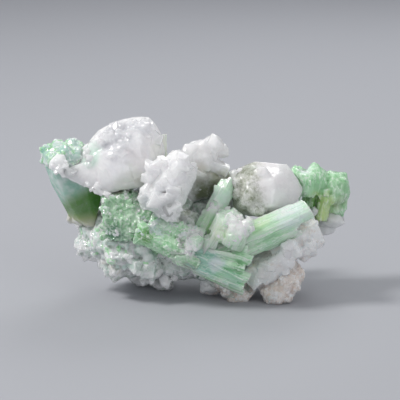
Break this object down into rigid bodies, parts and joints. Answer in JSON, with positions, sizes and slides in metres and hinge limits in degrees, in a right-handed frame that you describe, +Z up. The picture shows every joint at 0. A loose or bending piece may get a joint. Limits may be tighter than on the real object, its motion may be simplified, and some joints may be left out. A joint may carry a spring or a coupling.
{
  "type": "tourmaline mineral specimen",
  "caption": "Hand-sized mineral cluster: striated green tourmaline prisms and milky quartz crystals grown on a rough granular quartz and feldspar base",
  "frame": {"origin": "centre of the box round the specimen, on the floor that it stands on", "axes": "+X to the specimen's right as it is shown, +Y to its back, +Z up"},
  "size_m": [0.0728, 0.034, 0.0416],
  "materials": {
    "milky_quartz": "translucent, satin",
    "grey_quartz": "translucent, satin, with dark specks",
    "green_tourmaline": "glassy, striated",
    "deep_tourmaline": "glassy",
    "granular_quartz": "rough, sugary",
    "pink_feldspar": "rough, matt"
  },
  "bodies": {
    "root": {"pale_quartz_cap": "milky_quartz", "long_tourmaline": "green_tourmaline", "upright_tourmaline": "green_tourmaline", "tourmaline_spray": "green_tourmaline", "middle_tourmaline": "green_tourmaline", "large_quartz": "milky_quartz", "left_quartz_nub": "milky_quartz", "centre_quartz": "milky_quartz", "tourmaline_needle": "green_tourmaline", "rear_quartz": "milky_quartz", "right_quartz": "grey_quartz", "sugar_tourmaline": "green_tourmaline", "left_tourmaline": "deep_tourmaline", "right_tourmaline": "green_tourmaline", "right_quartz_nub": "milky_quartz", "rear_tourmaline": "green_tourmaline", "rear_quartz_point": "milky_quartz", "feldspar_shelf": "pink_feldspar", "feldspar_foot": "pink_feldspar", "matrix": "granular_quartz"}
  },
  "joints": []
}
